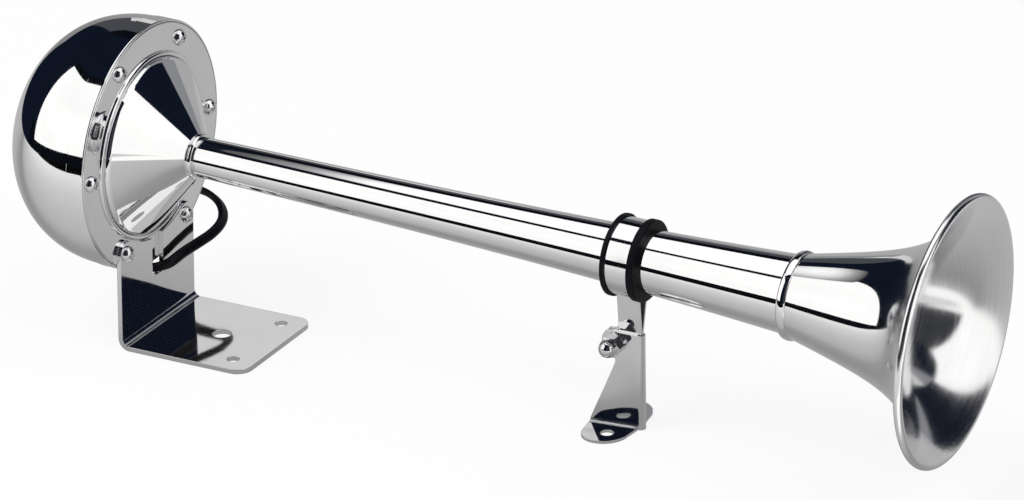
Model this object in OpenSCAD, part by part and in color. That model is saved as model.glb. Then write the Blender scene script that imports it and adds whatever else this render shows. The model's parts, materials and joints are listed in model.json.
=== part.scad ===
// Electric single-trumpet horn of polished stainless steel, for a boat or a vehicle.
// Millimetres. +Z is up and z = 0 is the surface that the horn is bolted to.
// +X points from the driver to the bell. The origin is the middle of the rear foot's underside.
// The trumpet's axis drops a little towards the bell, so that water runs out.

/* [Trumpet axis] */
// Height of the bracket's leg, from the foot's upper face to the axis
leg_h = 79.5; // [70:0.5:90]
// Angle by which the axis drops towards the bell
axis_drop = 1.9; // [0:0.1:3]

/* [Rear cover] */
// Outer radius of the cover's straight band
cover_r = 52.9; // [52.4:0.1:54]
// Length of the straight band
band_l = 8.2; // [7:0.1:12]
// Depth of the dome behind the band
dome_depth = 46.9; // [44:0.1:60]
// Roundness of the dome's section (2 is an ellipse, more is squarer)
dome_power = 2.23; // [2:0.01:2.6]
// Sheet of the cover
cover_wall = 0.9; // [0.6:0.1:1.2]

/* [Flange and cone] */
// Distance of the flange's edge inside the cover's outer face
flange_inset = 1.1; // [1:0.1:1.5]
// Sheet of the flange and cone
flange_t = 1.2; // [1:0.1:1.4]
// Distance of the ring of screws inside the cover's outer face
bolt_inset = 6.9; // [6.4:0.1:7.4]
// Distance of the bead at the foot of the cone inside the cover's outer face
bead_inset = 14; // [13.4:0.1:14.9]
// Radius of the bead's own section
bead_section = 1.2; // [0.8:0.1:1.3]
// Height of the cone over the flange
cone_h = 21.9; // [18:0.1:26]
// Length of the collar that holds the tube
collar_l = 2.6; // [2:0.1:5]

/* [Trumpet] */
// Outer radius of the tube at the collar
tube_r = 8.4; // [8:0.1:9]
// Even part of the tube's taper, as a rise in radius
tube_taper = 3; // [2:0.1:4]
// Late part of the tube's taper, as a rise in radius
tube_flare = 4.8; // [3.5:0.1:5.5]
// Wall of the tube
tube_wall = 0.8; // [0.6:0.1:1]
// Distance of the bell's joint from the flange
joint_at = 293; // [280:1:300]
// Length of the bell from its joint to the middle of the rolled rim
bell_l = 67.9; // [62:0.1:75]
// Radius to the middle of the rolled rim
rim_r = 52.6; // [50:0.1:56]
// Radius of the roll itself
rim_roll = 1.8; // [1.5:0.1:2.2]
// Wall of the bell
bell_wall = 0.8; // [0.6:0.1:1]

/* [Rear bracket] */
// Length of the foot
foot_l = 60.4; // [56:0.1:70]
// Width of the foot and leg
foot_w = 57; // [57:0.1:58]
// Sheet of the bracket
sheet = 2; // [1.5:0.1:2.5]
// Inner radius of the bend
bend_r = 3; // [2:0.1:4]
// Radius of the foot's corners
corner_r = 6.5; // [4:0.1:8]
// Radius of the small bolt holes, in both feet
hole_r = 2.7; // [2.2:0.1:3.2]
// Distance between the two small holes
hole_gap = 39; // [34:0.1:42]
// Distance of the small holes from the foot's front edge
hole_inset = 10.5; // [9:0.1:12]
// Radius of the large hole
big_hole_r = 4; // [3:0.1:5]
// Distance of the large hole from the foot's front edge
big_hole_inset = 27.6; // [24:0.1:30]
// Width of the cable notch in the leg
notch_w = 8.2; // [7:0.1:9]
// Depth of the notch's floor below the axis
notch_depth = 58; // [57:0.1:60]

/* [Clamp and front bracket] */
// Distance of the clamp's middle from the flange
clamp_at = 222.9; // [210:0.1:235]
// Width of the clamp's band
band_w = 10; // [8:0.1:12]
// Sheet of the clamp's band
band_t = 1; // [0.8:0.1:1.2]
// Thickness of the rubber under the band
liner_t = 2; // [1.5:0.1:3]
// Height of the rubber lips over the band
lip_h = 1; // [0.4:0.1:1.6]
// Width of the rear rubber lip
rear_lip = 1.8; // [1:0.1:2.5]
// Width of the front rubber lip
front_lip = 2.9; // [1:0.1:3.5]
// Distance of the clamp bolt behind the clamp's middle
bolt_back = 5.7; // [4:0.1:7]
// Distance of the clamp bolt below the axis
bolt_drop = 37.5; // [36:0.1:40]
// Radius of the clamp bolt
bolt_r = 2.5; // [2:0.1:3]
// Sheet of the front bracket
wing_t = 1.2; // [1:0.1:1.5]
// Distance of the fold's outer face ahead of the bolt
fold_ahead = 11.9; // [10:0.1:14]
// Height of the bracket's top edge over the bolt
wing_over = 4.4; // [3.8:0.1:5]
// Radius of the rounded nose about the bolt
nose_r = 6.2; // [5.6:0.1:7]
// Length of the wing's lower edge, back from the fold
wing_l = 20.4; // [18:0.1:24]
// Angle by which each wing opens outwards at the foot
splay = 6; // [3:0.5:8]
// Reach of each foot flap from the wing
flap_reach = 17.2; // [15.5:0.1:20]
// Distance between the two holes of the front foot
front_hole_gap = 24; // [23:0.1:26]

/* [Driver] */
// Distance of the driver's pan inside the cover's outer face
pan_inset = 14.9; // [13.9:0.1:16]
// Depth of the pan behind its flange
pan_depth = 30; // [28:0.5:32]
// Radius of the magnet core
core_r = 9; // [8:0.1:10]
// Gap between the armature and the core
air_gap = 0.7; // [0.5:0.05:1]

/* [Cord] */
// Diameter of the cord's plain solid
cord_d = 4.5; // [4:0.1:4.6]

/* [Hidden] */
$fn = 96;
eps = 0.01;
// gap between round faces that only slide together
fit_gap = 0.05;

// radii that follow the cover
flange_r = cover_r - flange_inset;
bolt_circle_r = cover_r - bolt_inset;
bead_r = cover_r - bead_inset;
pan_r = cover_r - pan_inset;
winding_r = pan_r / 2;
armature_r = winding_r - 5;

// place of the flange's front face on the axis, above the rear foot
leg_x = sheet - foot_l / 2;
flange_x = leg_x + leg_h * sin(axis_drop) - sheet * cos(axis_drop);
flange_z = sheet + leg_h * cos(axis_drop) + sheet * sin(axis_drop);

// Puts what is drawn along +Z onto the trumpet's axis: local +Z runs to the bell, local +X runs down.
module on_axis() {
    translate([flange_x, 0, flange_z]) rotate([0, 90 + axis_drop, 0]) children();
}

// World place of a point that lies along the axis and below it.
function from_axis(along, down) =
    [flange_x + along * cos(axis_drop) - down * sin(axis_drop), 0,
     flange_z - along * sin(axis_drop) - down * cos(axis_drop)];

// Points of an arc, from one angle to another.
function arc(centre, r, from, to, steps = 8) =
    [for (i = [0:steps]) let (a = from + (to - from) * i / steps) centre + r * [cos(a), sin(a)]];

// Round places of the screws, as angles about the axis from local +X, which points down.
bracket_angles = [-30, 30];
flange_angles = [-90, 90, -150, 150];
module around(angles, r) {
    for (a = angles) rotate([0, 0, a]) translate([r, 0, 0]) children();
}

// Flat ring along the local axis.
module ring(inner, outer, from, to) {
    translate([0, 0, from]) difference() {
        cylinder(r = outer, h = to - from);
        translate([0, 0, -1]) cylinder(r = inner, h = to - from + 2);
    }
}

// The clamped stack behind the flange, from front to back.
screw_r = 1.75;
screw_hole_r = 1.95;
gasket_t = 0.6;
diaphragm_t = 0.3;
pan_t = 1.2;
ring_t = 1.2;
stack_r = flange_r - 1.8;
washer_t = 0.9;
nut_h = 2.8;
gasket1_z = -flange_t - gasket_t;
diaphragm_z = gasket1_z - diaphragm_t;
gasket2_z = diaphragm_z - gasket_t;
pan_z = gasket2_z - pan_t;
ring_z = pan_z - ring_t;
washer_z = ring_z - washer_t;
nut_z = washer_z - nut_h;
stack_inner_r = pan_r + 1;

module screw_holes(from, to) {
    around(concat(bracket_angles, flange_angles), bolt_circle_r)
        translate([0, 0, from - 1]) cylinder(r = screw_hole_r, h = to - from + 2, $fn = 32);
}

// Rear cover: a deep-drawn dome with a straight band and a faint crease between them.
crease = 0.3;
cover_edge = -0.2;
function dome(r, depth, steps = 26) =
    [for (i = [0:steps]) let (a = 90 * i / steps)
        [i == steps ? 0 : r * pow(cos(a), 2 / dome_power), -band_l - depth * pow(sin(a), 2 / dome_power)]];
module rear_cover() {
    outer = concat([[cover_r, cover_edge], [cover_r, -band_l + crease]], dome(cover_r - crease, dome_depth));
    inner_r = cover_r - cover_wall;
    inner_dome = dome(inner_r - crease, dome_depth - cover_wall);
    inner = [for (i = [len(inner_dome) - 1:-1:0]) inner_dome[i]];
    color("silver") on_axis() difference() {
        rotate_extrude() polygon(concat(outer, inner, [[inner_r, -band_l + crease], [inner_r, cover_edge]]));
        translate([cover_r, 0, boot_z]) rotate([0, 90, 0]) cylinder(r = boot_hole_r, h = 2 * boot_depth, center = true, $fn = 48);
    }
}

// Ring welded inside the cover, which the flange screws pull forward.
module cover_ring() {
    color("darkgray") on_axis() difference() {
        ring(bolt_circle_r - 5, cover_r - cover_wall - fit_gap, ring_z, pan_z);
        screw_holes(ring_z, pan_z);
    }
}

// Front flange, bead, cone and collar: one spun piece.
collar_r = tube_r + fit_gap;
module front_cone() {
    edge = 0.45;
    neck_r = tube_r + 0.9;
    lip = 0.45;
    cone_foot = bead_r - bead_section;
    rim = concat([[flange_r, -flange_t]], arc([flange_r - edge, -edge], edge, 0, 90, 4));
    bead = arc([bead_r, 0], bead_section, 0, 180, 12);
    collar = arc([neck_r, cone_h + collar_l / 2], collar_l / 2, -90, 90, 8);
    collar_side = [for (p = collar) [neck_r + (p[0] - neck_r) * lip, p[1]]];
    inside = [[collar_r, cone_h + collar_l], [collar_r, cone_h - 0.7], [pan_r - 1, -flange_t + 0.4],
              [pan_r - 1, -flange_t]];
    color("silver") on_axis() difference() {
        rotate_extrude() polygon(concat(rim, bead, [[cone_foot, 0.3]], collar_side, inside));
        screw_holes(-flange_t, 0);
    }
}

// Pan-head screw with a cross recess, its head's seat at z = 0 and its shank downwards.
head_r = 3.5;
head_h = 2.6;
module pan_screw(length) {
    slot = 0.9;
    difference() {
        rotate_extrude($fn = 48) polygon(concat([[0, -length], [screw_r, -length], [screw_r, 0], [head_r, 0]],
            arc([head_r - 1.6, head_h - 1.6], 1.6, 0, 70, 6), [[0, head_h]]));
        for (a = [0, 90]) rotate([0, 0, a]) translate([-1.9, -slot / 2, head_h - 1.3]) cube([3.8, slot, 2]);
    }
}

// Screws that hold the flange only.
module flange_screws() {
    color("silver") on_axis() around(flange_angles, bolt_circle_r) pan_screw(-nut_z + 0.8);
}

// Screws that also hold the rear bracket's two ears.
module bracket_screws() {
    color("silver") on_axis() around(bracket_angles, bolt_circle_r)
        translate([0, 0, sheet]) pan_screw(sheet - nut_z + 0.8);
}

// Washers and nuts behind the flange.
module flange_washers() {
    color("silver") on_axis() around(concat(bracket_angles, flange_angles), bolt_circle_r)
        ring(screw_r + 0.1, 3.4, washer_z, ring_z, $fn = 48);
}
module hex_nut(bore, flats, h) {
    difference() {
        cylinder(r = flats / 2 / cos(30), h = h, $fn = 6);
        translate([0, 0, -1]) cylinder(r = bore, h = h + 2, $fn = 48);
    }
}
module flange_nuts() {
    color("silver") on_axis() around(concat(bracket_angles, flange_angles), bolt_circle_r)
        translate([0, 0, nut_z]) hex_nut(screw_r + fit_gap, 6, nut_h);
}

// Gaskets either side of the diaphragm.
module clamped_ring(from, to, tint) {
    color(tint) on_axis() difference() {
        ring(stack_inner_r, stack_r, from, to);
        screw_holes(from, to);
    }
}
module front_gasket() clamped_ring(gasket1_z, -flange_t, "dimgray");
module rear_gasket() clamped_ring(gasket2_z, diaphragm_z, "dimgray");

// Spring-steel diaphragm, gripped at its rim by the screws and at its middle by the rod.
rod_r = 2;
module diaphragm() {
    color("gray") on_axis() difference() {
        ring(rod_r + 0.25, stack_r, diaphragm_z, gasket1_z);
        screw_holes(diaphragm_z, gasket1_z);
    }
}

// Pressed pan that carries the coil, the contacts and the terminals.
pan_floor_z = pan_z - pan_depth;
core_hole_r = 3;
module driver_case() {
    wall_r = pan_r - pan_t;
    round_r = 5;
    outer = concat([[stack_r, pan_z + pan_t], [stack_r, pan_z], [pan_r, pan_z]],
                   arc([pan_r - round_r, pan_floor_z + round_r], round_r, 0, -90, 8), [[core_hole_r, pan_floor_z]]);
    inner = concat([[core_hole_r, pan_floor_z + pan_t]],
                   arc([pan_r - round_r, pan_floor_z + round_r], round_r - pan_t, -90, 0, 8), [[wall_r, pan_z + pan_t]]);
    color("dimgray") on_axis() difference() {
        rotate_extrude() polygon(concat(outer, inner));
        screw_holes(pan_z, pan_z + pan_t);
        translate([0, 0, pan_floor_z - 1]) {
            around([contact_angle], contact_r) cylinder(r = 1.6, h = 4, $fn = 32);
            around([contact_angle], adjust_r) cylinder(r = adjust_screw_r + fit_gap, h = 4, $fn = 32);
            around(terminal_angles, terminal_at) cylinder(r = 2.6, h = 4, $fn = 32);
        }
    }
}

// Magnet core, riveted through the pan's floor.
armature_h = 4;
collar_h = 2;
armature_top_z = diaphragm_z - collar_h;
armature_z = armature_top_z - armature_h;
core_top_z = armature_z - air_gap;
pan_inside_z = pan_floor_z + pan_t;
module magnet_core() {
    rivet_h = 1.4;
    color("slategray") on_axis() rotate_extrude() polygon([[0, pan_floor_z - rivet_h], [core_hole_r + 2, pan_floor_z - rivet_h],
        [core_hole_r + 2, pan_floor_z], [core_hole_r - fit_gap, pan_floor_z], [core_hole_r - fit_gap, pan_inside_z],
        [core_r, pan_inside_z], [core_r, core_top_z], [0, core_top_z]]);
}

// Bobbin and winding round the core.
bobbin_t = 1;
bobbin_top_z = core_top_z - 1.6;
bobbin_wall_r = core_r + fit_gap + bobbin_t;
module coil_bobbin() {
    cheek_r = winding_r + 1;
    color("saddlebrown") on_axis() union() {
        ring(core_r + fit_gap, bobbin_wall_r, pan_inside_z, bobbin_top_z);
        ring(core_r + fit_gap, cheek_r, pan_inside_z, pan_inside_z + bobbin_t);
        ring(core_r + fit_gap, cheek_r, bobbin_top_z - bobbin_t, bobbin_top_z);
    }
}
module coil_winding() {
    color("chocolate") on_axis() ring(bobbin_wall_r, winding_r, pan_inside_z + bobbin_t, bobbin_top_z - bobbin_t);
}

// Armature, its rod with a collar, and the washer and nut that grip the diaphragm.
clamp_washer_t = 1;
rod_nut_h = 2.6;
module armature() {
    color("gray") on_axis() ring(rod_r, armature_r, armature_z, armature_top_z);
}
module armature_rod() {
    tip = gasket1_z + clamp_washer_t + rod_nut_h + 1.2;
    color("lightgray") on_axis() rotate_extrude() polygon([[0, armature_z], [rod_r, armature_z], [rod_r, armature_top_z],
        [5, armature_top_z], [5, diaphragm_z], [rod_r, diaphragm_z], [rod_r, tip], [0, tip]]);
}
module diaphragm_washer() {
    color("lightgray") on_axis() ring(rod_r, 6, gasket1_z, gasket1_z + clamp_washer_t);
}
module diaphragm_nut() {
    color("lightgray") on_axis() translate([0, 0, gasket1_z + clamp_washer_t]) hex_nut(rod_r, 7, rod_nut_h);
}

// Contact breaker: a sprung blade under the armature's edge and a fixed arm above it, stacked on a post.
contact_angle = 180;
contact_r = pan_r - 9;
adjust_r = contact_r - 5.5;
adjust_screw_r = 1.5;
blade_t = 0.4;
blade_w = 7;
arm_t = 1;
button_h = 0.5;
push_gap = 0.3;
blade_top_z = armature_z - push_gap - button_h;
blade_z = blade_top_z - blade_t;
point_h = 0.8;
point_r = 1.4;
arm_z = blade_top_z + 2 * point_h;
arm_inner_r = adjust_r - 3;
insulator_t = 0.7;
post_top_z = blade_z - insulator_t;
post_half = 3.5;
rivet_r = 1.2;
module contact_support() {
    color("gray") on_axis() rotate([0, 0, contact_angle]) difference() {
        translate([contact_r - post_half, -post_half, pan_inside_z])
            cube([2 * post_half, 2 * post_half, post_top_z - pan_inside_z]);
        translate([contact_r, 0, pan_inside_z - 1]) cylinder(r = rivet_r + fit_gap, h = pan_depth, $fn = 32);
    }
}
module stack_plate(from, to, inner) {
    rotate([0, 0, contact_angle]) difference() {
        translate([inner, -blade_w / 2, from]) cube([contact_r + post_half - inner, blade_w, to - from]);
        translate([contact_r, 0, from - 1]) cylinder(r = rivet_r + fit_gap, h = to - from + 2, $fn = 32);
    }
}
module contact_insulators() {
    color("darkred") on_axis() union() {
        stack_plate(post_top_z, blade_z, contact_r - post_half);
        stack_plate(blade_top_z, arm_z, contact_r - post_half);
    }
}
module contact_blade() {
    reach = armature_r - 2.5;
    color("goldenrod") on_axis() union() {
        stack_plate(blade_z, blade_top_z, reach);
        rotate([0, 0, contact_angle]) translate([reach + 1.5, 0, blade_top_z]) cylinder(r = 1.2, h = button_h, $fn = 32);
    }
}
module fixed_contact() {
    color("goldenrod") on_axis() stack_plate(arm_z, arm_z + arm_t, arm_inner_r);
}
module contact_point(from) {
    color("lightgray") on_axis() rotate([0, 0, contact_angle]) translate([adjust_r, 0, from])
        cylinder(r = point_r, h = point_h, $fn = 32);
}
module moving_point() contact_point(blade_top_z);
module fixed_point() contact_point(blade_top_z + point_h);
module contact_rivet() {
    head = 2;
    color("lightgray") on_axis() rotate([0, 0, contact_angle]) translate([contact_r, 0, 0]) rotate_extrude($fn = 32)
        polygon([[0, pan_floor_z - 1], [head, pan_floor_z - 1], [head, pan_floor_z], [rivet_r, pan_floor_z],
                 [rivet_r, arm_z + arm_t], [head, arm_z + arm_t], [head, arm_z + arm_t + 0.9], [0, arm_z + arm_t + 0.9]]);
}

// Screw that sets the note, reached from behind with the cover off, and its locknut.
module adjusting_screw() {
    tip = blade_z - 0.3;
    back = pan_floor_z - 5;
    color("silver") on_axis() rotate([0, 0, contact_angle]) translate([adjust_r, 0, 0]) difference() {
        translate([0, 0, back]) cylinder(r = adjust_screw_r, h = tip - back, $fn = 32);
        translate([-3, -0.3, back - 1]) cube([6, 0.6, 2]);
    }
}
module adjusting_locknut() {
    h = 2.4;
    color("silver") on_axis() rotate([0, 0, contact_angle]) translate([adjust_r, 0, pan_floor_z - h])
        hex_nut(adjust_screw_r + fit_gap, 5.5, h);
}

// Insulated terminals on the back of the pan.
terminal_angles = [-28, 28];
terminal_at = pan_r - 11;
terminal_plate_t = 2;
terminal_r = 1.5;
plate_z = pan_floor_z - terminal_plate_t;
eye_t = 0.8;
eye_z = plate_z - eye_t;
module terminal_plate() {
    spot = terminal_at * cos(terminal_angles[1]);
    half = terminal_at * sin(terminal_angles[1]) + 5;
    color("saddlebrown") on_axis() difference() {
        union() {
            translate([spot - 5, -half, plate_z]) cube([10, 2 * half, terminal_plate_t]);
            around(terminal_angles, terminal_at) translate([0, 0, pan_floor_z - eps])
                cylinder(r = 2.5, h = pan_t + 1 + eps, $fn = 32);
        }
        around(terminal_angles, terminal_at) translate([0, 0, plate_z - 1])
            cylinder(r = terminal_r + fit_gap, h = 8, $fn = 32);
    }
}
module terminal_screws() {
    head = 2.8;
    top = pan_inside_z + 1;
    color("gold") on_axis() around(terminal_angles, terminal_at) rotate_extrude($fn = 32)
        polygon([[0, eye_z - 3.4], [terminal_r, eye_z - 3.4], [terminal_r, top], [head, top], [head, top + 1.4], [0, top + 1.4]]);
}
module terminal_nuts() {
    color("gold") on_axis() around(terminal_angles, terminal_at) translate([0, 0, eye_z - 2.4])
        hex_nut(terminal_r + fit_gap, 5.5, 2.4);
}
module ring_terminals() {
    eye_r = 3;
    color("lightgray") on_axis() for (a = terminal_angles) difference() {
        union() {
            rotate([0, 0, a]) translate([terminal_at, 0, eye_z]) cylinder(r = eye_r, h = eye_t, $fn = 32);
            translate([terminal_at * cos(a), terminal_at * sin(a) - sign(a) * (tongue_l + 2) / 2, eye_z + eye_t / 2])
                cube([2.4, tongue_l - 2, eye_t], center = true);
        }
        rotate([0, 0, a]) translate([terminal_at, 0, eye_z - 1]) cylinder(r = terminal_r + fit_gap, h = 3, $fn = 32);
    }
}

// Moulded rubber boot in a hole under the cover, which turns the cable forwards.
boot_z = -11;
boot_hole_r = 4;
boot_r = 3.6;
boot_nose_r = 2.8;
boot_front_z = -5.5;
boot_depth = 3.2;
boot_inner_x = cover_r - boot_depth;
cable_down = cover_r + 3.4;
module cable_boot() {
    flange_h = 1.5;
    color([0.08, 0.08, 0.09]) on_axis() union() {
        translate([boot_inner_x, 0, boot_z]) rotate([0, 90, 0]) {
            cylinder(r = boot_hole_r + 1.2, h = flange_h, $fn = 48);
            cylinder(r = boot_hole_r - fit_gap, h = cover_r + 0.3 - boot_inner_x, $fn = 48);
            cylinder(r = boot_r, h = cable_down - boot_inner_x, $fn = 48);
        }
        translate([cable_down, 0, boot_z]) sphere(r = boot_r, $fn = 48);
        translate([cable_down, 0, boot_z]) cylinder(r1 = boot_r, r2 = boot_nose_r, h = boot_front_z - boot_z, $fn = 48);
    }
}

// Sweeps a tube along points: one ring of sides at each point, square to the path, with no twist.
function unit(v) = v / norm(v);
function heading(points, i) = unit(points[min(i + 1, len(points) - 1)] - points[max(i - 1, 0)]);
function level(v, way) = unit(v - (v * way) * way);
function sides_of(points, i, side) = i == len(points) ? []
    : let (turned = level(side, heading(points, i))) concat([turned], sides_of(points, i + 1, turned));
module sweep(points, d, sides = 8) {
    last = len(points) - 1;
    first_way = heading(points, 0);
    across = sides_of(points, 0, level(abs(first_way[2]) > 0.9 ? [1, 0, 0] : [0, 0, 1], first_way));
    rings = [for (i = [0:last]) let (up = cross(across[i], heading(points, i)))
        [for (k = [0:sides - 1]) let (a = 360 * (k + 0.5) / sides)
            points[i] + d / 2 * (cos(a) * across[i] - sin(a) * up)]];
    walls = [for (i = [0:last - 1], k = [0:sides - 1]) let (n = (k + 1) % sides)
        each [[i * sides + k, i * sides + n, (i + 1) * sides + n],
              [i * sides + k, (i + 1) * sides + n, (i + 1) * sides + k]]];
    ends = [[for (k = [sides - 1:-1:0]) k], [for (k = [0:sides - 1]) last * sides + k]];
    polyhedron([for (r = rings) each r], concat(walls, ends));
}

// Sheathed cable inside the cover, and its two cores to the terminals, in the axis's frame.
split_x = cover_r - 17.3;
split_z = eye_z - 2.5;
inner_route = [[boot_inner_x, 0, boot_z], [cover_r - 5.3, 0, boot_z - 0.2], [cover_r - 7.3, 0, boot_z - 2.5],
               [cover_r - 8.3, 0, boot_z - 8], [cover_r - 8.9, 0, pan_floor_z + 6.9], [cover_r - 10.5, 0, pan_floor_z + 0.4],
               [cover_r - 13.5, 0, eye_z - 1.1], [split_x, 0, split_z]];
module inner_cable() {
    color([0.08, 0.08, 0.09]) on_axis() sweep(inner_route, 4);
}
tongue_l = 7;
tongue_end = terminal_at * [cos(terminal_angles[1]), sin(terminal_angles[1])] - [0, tongue_l];
core_route = [[split_x, 1, split_z], [tongue_end[0] + 10, 1.1, eye_z - 3.1], [tongue_end[0] + 6.2, 0.35 * tongue_end[1], eye_z - 2.6],
              [tongue_end[0] + 3, 0.47 * tongue_end[1], eye_z - 1.6], [tongue_end[0] + 0.8, 0.63 * tongue_end[1], eye_z - 0.7],
              [tongue_end[0], 0.82 * tongue_end[1], eye_z - 0.2], [tongue_end[0], tongue_end[1], eye_z - 0.2]];
module core_leads() {
    color("firebrick") on_axis() {
        sweep(core_route, 1.8);
        mirror([0, 1, 0]) sweep(core_route, 1.8);
    }
}

// Outer radius of the tapering tube, at a distance from the flange.
tube_from = cone_h - 0.9;
tube_to = joint_at + 5;
function tube_at(z) = let (t = (z - cone_h) / (joint_at + 3 - cone_h))
    tube_r + tube_taper * max(t, 0) + tube_flare * pow(max(t, 0), 3);
module trumpet_tube() {
    steps = 34;
    stations = [for (i = [0:steps]) tube_from + (tube_to - tube_from) * i / steps];
    outer = [for (z = stations) [tube_at(z), z]];
    inner = [for (i = [steps:-1:0]) [tube_at(stations[i]) - tube_wall, stations[i]]];
    color("silver") on_axis() rotate_extrude() polygon(concat(outer, inner));
}

// Bell: a bead over the tube's end, an even flare that turns out quickly, and a rolled rim.
joint_l = 4;
joint_r = tube_at(tube_to) + 0.15 + bell_wall;
bell_taper = 14.6;
flare_rate = 5.95;
roll_angle = 64;
roll_inner = rim_roll - bell_wall;
rim_z = joint_at + bell_l;
bell_start = [joint_r, joint_at + joint_l];
bell_end = [rim_r, rim_z] + roll_inner * [-cos(roll_angle), sin(roll_angle)];
function bell_point(t) = [
    bell_start[0] + bell_taper * t
        + (bell_end[0] - bell_start[0] - bell_taper) * (exp(flare_rate * t) - 1) / (exp(flare_rate) - 1),
    bell_start[1] + (bell_end[1] - bell_start[1]) * t];
function bell_normal(t) = let (v = bell_point(t) - bell_point(t - 0.004)) unit([v[1], -v[0]]);
module bell() {
    steps = 40;
    roll_steps = 18;
    stations = [for (i = [0:steps]) 1 - pow(1 - i / steps, 1.5)];
    outside = [for (t = stations) bell_point(t)];
    inside = [for (i = [steps - 1:-1:0]) bell_point(stations[i]) - bell_normal(stations[i]) * bell_wall];
    bead_foot = joint_r - 0.2;
    bead = [for (p = arc([bead_foot, joint_at + joint_l / 2], joint_l / 2, -90, 80, 10))
        [bead_foot + (p[0] - bead_foot) * 0.45, p[1]]];
    roll_start = 180 - roll_angle;
    roll_stop = -150;
    color("silver") on_axis() rotate_extrude() polygon(concat([[joint_r - bell_wall, joint_at]], bead, outside,
        arc([rim_r, rim_z], roll_inner, roll_start - 8, roll_stop, roll_steps),
        arc([rim_r, rim_z], rim_roll, roll_stop, roll_start, roll_steps), inside));
}

// Rear bracket: one sheet bent into a foot and a leg with two ears and a cable notch.
module sector(from, to, r) {
    middle = (from + to) / 2;
    polygon([[0, 0], r * [cos(from), sin(from)], 2 * r * [cos(middle), sin(middle)], r * [cos(to), sin(to)]]);
}
function mirrored(points) = [for (i = [len(points) - 1:-1:0]) [points[i][0], -points[i][1]]];
bend_run = bend_r * (1 + sin(axis_drop)) / cos(axis_drop);
foot_front = foot_l / 2;
// What is cut away above the leg: the air round its two ears, and the notch between them.
module leg_cut() {
    half = foot_w / 2;
    ear_angle = bracket_angles[1];
    ear_middle = bolt_circle_r * [cos(ear_angle), sin(ear_angle)];
    leg_ear_r = half - ear_middle[1];
    between_r = bolt_circle_r - leg_ear_r;
    notch_round = 1.5;
    notch_half = notch_w / 2;
    ear = arc(ear_middle, leg_ear_r, 97, 180 + ear_angle, 16);
    side = concat([[0, half + 2], [ear[0][0], half + 2]], ear,
        arc([0, 0], between_r, ear_angle - 1, asin(notch_half / between_r), 10),
        arc([notch_depth - notch_round, notch_half - notch_round], notch_round, 90, 0, 6));
    polygon(concat(side, mirrored(side)));
}
module rear_bracket() {
    bend_middle = [leg_x + bend_run, sheet + bend_r];
    leg_way = [sin(axis_drop), cos(axis_drop)];
    leg_rear = bend_middle + (bend_r + sheet) * [-cos(axis_drop), sin(axis_drop)];
    leg_front = bend_middle + bend_r * [-cos(axis_drop), sin(axis_drop)];
    leg_top = leg_h - bend_run - bolt_circle_r / 2;
    corner = concat([[foot_front - corner_r, foot_w]],
        arc([foot_front - corner_r, foot_w / 2 - corner_r], corner_r, 90, 0, 12), [[foot_l, foot_w / 2 - corner_r], [foot_l, foot_w]]);
    color("silver") difference() {
        // the bent sheet, seen from the side
        rotate([90, 0, 0]) linear_extrude(foot_w, center = true) polygon(concat(
            [[foot_front, sheet]], arc(bend_middle, bend_r, 270, 180 - axis_drop, 10),
            [leg_front + leg_top * leg_way, leg_rear + leg_top * leg_way],
            arc(bend_middle, bend_r + sheet, 180 - axis_drop, 270, 10), [[foot_front, 0]]));
        on_axis() translate([0, 0, -5]) linear_extrude(sheet + 10) leg_cut();
        on_axis() around(bracket_angles, bolt_circle_r) translate([0, 0, -5]) cylinder(r = screw_hole_r, h = sheet + 10, $fn = 48);
        for (s = [-1, 1]) {
            translate([0, 0, -1]) linear_extrude(sheet + 2) polygon([for (p = corner) [p[0], s * p[1]]]);
            translate([foot_front - hole_inset, s * hole_gap / 2, -1]) cylinder(r = hole_r, h = sheet + 2);
        }
        translate([foot_front - big_hole_inset, 0, -1]) cylinder(r = big_hole_r, h = sheet + 2);
    }
}

// Clamp: a rubber channel round the tube and a steel band whose two tabs come together at the bolt.
liner_from = clamp_at - band_w / 2 - rear_lip;
liner_to = clamp_at + band_w / 2 + front_lip;
band_in_r = tube_at(clamp_at + band_w / 2) + fit_gap + liner_t;
lip_r = band_in_r + band_t + lip_h;
slot_half = 2.8;
tab_gap = 0.05;
tab_meet = bolt_drop - wing_over - 0.6;
ear_r = 5;
tab_end = bolt_drop + ear_r;
module clamp_liner() {
    steps = 4;
    bore = [for (i = [0:steps]) let (z = liner_from + (liner_to - liner_from) * i / steps) [tube_at(z) + fit_gap, z]];
    lip_round = 0.6;
    section = concat(bore,
        arc([lip_r - lip_round, liner_to - lip_round], lip_round, 90, 0, 4),
        [[lip_r, clamp_at + band_w / 2], [band_in_r, clamp_at + band_w / 2],
         [band_in_r, clamp_at - band_w / 2], [lip_r, clamp_at - band_w / 2]],
        arc([lip_r - lip_round, liner_from + lip_round], lip_round, 0, -90, 4));
    tail_end = tab_meet - 1.5;
    tail_half = 0.15;
    color([0.08, 0.08, 0.09]) on_axis() union() {
        rotate_extrude() polygon(section);
        // tail of rubber between the tabs
        translate([0, 0, clamp_at - band_w / 2]) linear_extrude(band_w)
            polygon([[band_in_r - 0.7, -slot_half + 0.1], [band_in_r - 0.7, slot_half - 0.1],
                     [tail_end, tail_half], [tail_end, -tail_half]]);
    }
}
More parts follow.
